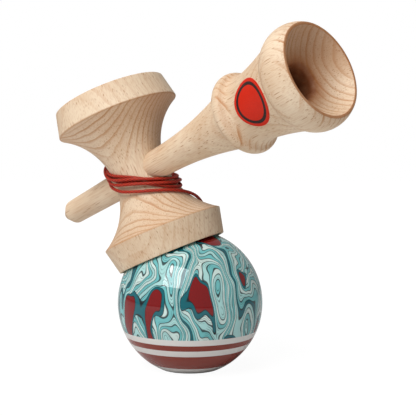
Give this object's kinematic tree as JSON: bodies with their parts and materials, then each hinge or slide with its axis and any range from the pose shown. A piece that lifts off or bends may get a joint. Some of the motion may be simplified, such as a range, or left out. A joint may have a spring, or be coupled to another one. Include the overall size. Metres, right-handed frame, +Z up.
{
  "type": "kendama",
  "caption": "Wooden kendama balanced on its lacquered ball: a turned cross-piece with cups, a tapered handle with spike and base cup, and a red string wound about the waist.",
  "frame": {"origin": "centre of the flat ring about the ball's spike hole, on the surface that the ball stands on", "axes": "+Z up along the ball's hole, and -Y towards the side that the picture shows"},
  "size_m": [0.1203, 0.1258, 0.1342],
  "materials": {
    "lacquer": "gloss",
    "beech": "satin",
    "bead": "satin",
    "string": "matte",
    "sticker": "satin"
  },
  "bodies": {
    "tama": {"tama": "lacquer"},
    "tether": {"bead": "bead", "bead_knot": "string", "string_in_tama": "string"},
    "sarado": {"sarado": "beech", "waist_knot": "string", "string_anchor": "string", "string_winding": "string", "string_lead": "string"},
    "ken": {"ken": "beech", "label": "sticker"}
  },
  "joints": [
    {"name": "tama_spin", "type": "hinge", "parent": "tama", "child": "tether", "pos_m": [0, 0, 0], "axis": [0, 0, 1], "continuous": true},
    {"name": "cup_lift", "type": "slide", "parent": "tether", "child": "sarado", "axis": [-0.3742, 0.118, 0.9198], "range_m": [0, 0.012], "deforming": ["string_lead"]},
    {"name": "ken_pull", "type": "slide", "parent": "sarado", "child": "ken", "axis": [0.6428, -0.682, 0.349], "range_m": [0, 0.08]}
  ]
}
